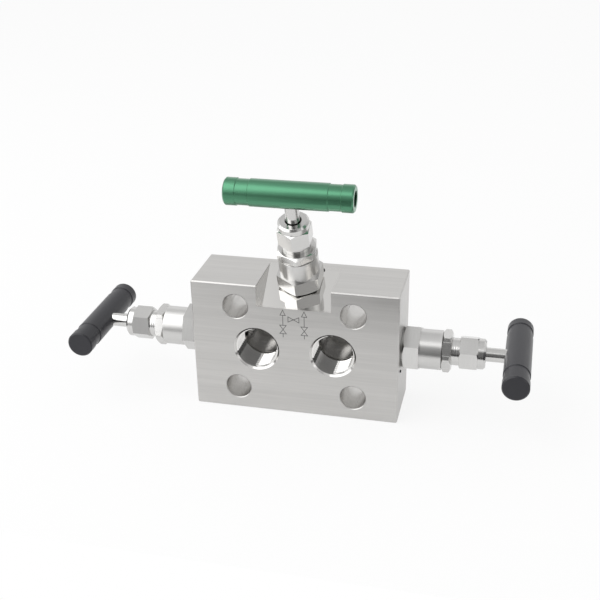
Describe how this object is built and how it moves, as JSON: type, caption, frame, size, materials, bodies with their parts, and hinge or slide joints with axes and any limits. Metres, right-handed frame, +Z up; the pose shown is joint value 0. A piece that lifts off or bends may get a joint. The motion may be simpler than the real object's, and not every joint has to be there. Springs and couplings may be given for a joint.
{
  "type": "instrument valve manifold",
  "caption": "Direct-mount instrument manifold: steel block with isolating and equalizing needle valves, T-bar handles and a flange face for a pressure transmitter.",
  "frame": {"origin": "centre of the flange bolt pattern, on the back face that seals on the instrument", "axes": "+X along the block and the two side valves, +Y out of the back face towards the instrument, +Z up"},
  "size_m": [0.21, 0.056, 0.114],
  "materials": {
    "block_steel": "ground bar",
    "polished_steel": "bright turned",
    "screw_steel": "dark oxide",
    "ptfe": "waxy",
    "black_anodised": "satin black",
    "green_anodised": "satin green"
  },
  "bodies": {
    "manifold": {"block": "block_steel", "flange_seals": "ptfe", "left_bonnet": "polished_steel", "left_bonnet_seal": "ptfe", "left_lock_nut": "polished_steel", "left_packing_nut": "polished_steel", "left_packing": "ptfe", "left_gland": "polished_steel", "left_lock_pin": "screw_steel", "right_bonnet": "polished_steel", "right_bonnet_seal": "ptfe", "right_lock_nut": "polished_steel", "right_packing_nut": "polished_steel", "right_packing": "ptfe", "right_gland": "polished_steel", "right_lock_pin": "screw_steel", "equalizer_bonnet": "polished_steel", "equalizer_bonnet_seal": "ptfe", "equalizer_lock_nut": "polished_steel", "equalizer_packing_nut": "polished_steel", "equalizer_packing": "ptfe", "equalizer_gland": "polished_steel", "equalizer_lock_pin": "screw_steel"},
    "left_needle_lift": {"left_needle": "polished_steel"},
    "left_spindle": {"left_stem": "polished_steel", "left_handle": "black_anodised", "left_handle_screw": "screw_steel"},
    "right_needle_lift": {"right_needle": "polished_steel"},
    "right_spindle": {"right_stem": "polished_steel", "right_handle": "black_anodised", "right_handle_screw": "screw_steel"},
    "equalizer_needle_lift": {"equalizer_needle": "polished_steel"},
    "equalizer_spindle": {"equalizer_stem": "polished_steel", "equalizer_handle": "green_anodised", "equalizer_handle_screw": "screw_steel"}
  },
  "joints": [
    {"name": "left_lift", "type": "slide", "parent": "manifold", "child": "left_needle_lift", "axis": [-1, 0, 0], "range_m": [0, 0.004]},
    {"name": "left_turn", "type": "hinge", "parent": "left_needle_lift", "child": "left_spindle", "pos_m": [-0.0475, -0.0155, 0], "axis": [-1, 0, 0], "range_deg": [0, 1440]},
    {"name": "right_lift", "type": "slide", "parent": "manifold", "child": "right_needle_lift", "axis": [1, 0, 0], "range_m": [0, 0.004]},
    {"name": "right_turn", "type": "hinge", "parent": "right_needle_lift", "child": "right_spindle", "pos_m": [0.0475, -0.0155, 0], "axis": [1, 0, 0], "range_deg": [0, 1440]},
    {"name": "equalizer_lift", "type": "slide", "parent": "manifold", "child": "equalizer_needle_lift", "axis": [0, -0.3554, 0.9347], "range_m": [0, 0.004]},
    {"name": "equalizer_turn", "type": "hinge", "parent": "equalizer_needle_lift", "child": "equalizer_spindle", "pos_m": [0, -0.0144, 0.02806], "axis": [0, -0.3554, 0.9347], "range_deg": [0, 1440]}
  ],
  "couplings": [
    {"joint": "left_lift", "follows": "left_turn", "m_per_rad": 0.00015915},
    {"joint": "right_lift", "follows": "right_turn", "m_per_rad": 0.00015915},
    {"joint": "equalizer_lift", "follows": "equalizer_turn", "m_per_rad": 0.00015915}
  ]
}
